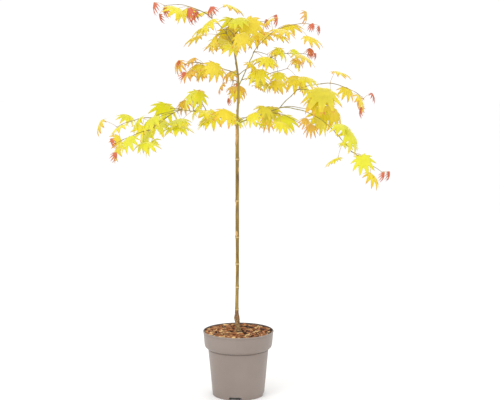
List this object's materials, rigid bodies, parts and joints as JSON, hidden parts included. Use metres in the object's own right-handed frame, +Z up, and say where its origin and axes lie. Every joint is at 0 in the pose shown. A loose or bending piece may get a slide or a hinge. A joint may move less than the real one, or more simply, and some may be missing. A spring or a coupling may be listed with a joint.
{
  "type": "potted japanese maple",
  "caption": "Young grafted maple on a slim bare stem in a tapered plastic nursery pot, with tiers of thin arching boughs and lobed autumn leaves.",
  "frame": {"origin": "centre of the pot's flat underside", "axes": "+Z up, the viewer looks along +Y, +X to the viewer's right"},
  "size_m": [0.7674, 0.4002, 1.0499],
  "materials": {
    "pot": "grey-taupe moulded plastic with a soft satin sheen",
    "potting_mix": "dark fibrous potting mix",
    "bark_mulch": "shredded bark chips, red-brown to straw",
    "bark": "smooth tan young bark with pale node rings",
    "young_bark": "smooth red-brown to olive shoot",
    "leaves_yellow": "thin matt leaf, lemon yellow",
    "leaves_gold": "thin matt leaf, golden to orange",
    "leaves_red": "thin matt young leaf, coral red"
  },
  "bodies": {
    "root": {"pot": "pot", "potting_mix": "potting_mix", "bark_mulch": "bark_mulch", "trunk": "bark", "left_bough": "young_bark", "left_outer_bough": "young_bark", "left_upper_bough": "young_bark", "left_lower_bough": "young_bark", "right_bough": "young_bark", "right_outer_bough": "young_bark", "right_upper_bough": "young_bark", "right_upper_outer_bough": "young_bark", "right_drooping_bough": "young_bark", "right_drooping_outer_bough": "young_bark", "upper_right_bough": "young_bark", "upper_right_outer_bough": "young_bark", "middle_right_bough": "young_bark", "back_bough": "young_bark", "middle_left_bough": "young_bark", "middle_left_outer_bough": "young_bark", "back_right_bough": "young_bark", "top_left_bough": "young_bark", "top_left_outer_bough": "young_bark", "right_front_leaves": "leaves_yellow", "left_lower_inner_leaves": "leaves_yellow", "left_lower_leaves": "leaves_gold", "left_upper_inner_leaves": "leaves_yellow", "left_upper_leaves": "leaves_yellow", "right_drooping_inner_leaves": "leaves_yellow", "right_drooping_leaves": "leaves_gold", "right_upper_inner_leaves": "leaves_yellow", "right_upper_leaves": "leaves_gold", "top_middle_leaves": "leaves_yellow", "top_front_leaves": "leaves_yellow", "top_right_leaves": "leaves_gold", "top_back_leaves": "leaves_yellow", "top_left_inner_leaves": "leaves_yellow", "top_left_leaves": "leaves_gold", "top_left_raised_leaves": "leaves_red", "top_left_hanging_leaves": "leaves_yellow", "upper_right_inner_leaves": "leaves_yellow", "upper_right_leaves": "leaves_gold", "middle_right_inner_leaves": "leaves_yellow", "middle_right_leaves": "leaves_yellow", "middle_left_inner_leaves": "leaves_gold", "middle_left_leaves": "leaves_red", "back_right_inner_leaves": "leaves_yellow", "back_right_leaves": "leaves_red", "right_top_leaves": "leaves_yellow", "right_hanging_leaves": "leaves_gold", "left_raised_leaves": "leaves_gold", "left_hanging_leaves": "leaves_yellow", "left_inner_leaves": "leaves_yellow", "right_inner_leaves": "leaves_yellow", "back_leaves": "leaves_red", "back_lower_leaves": "leaves_gold"}
  },
  "joints": []
}
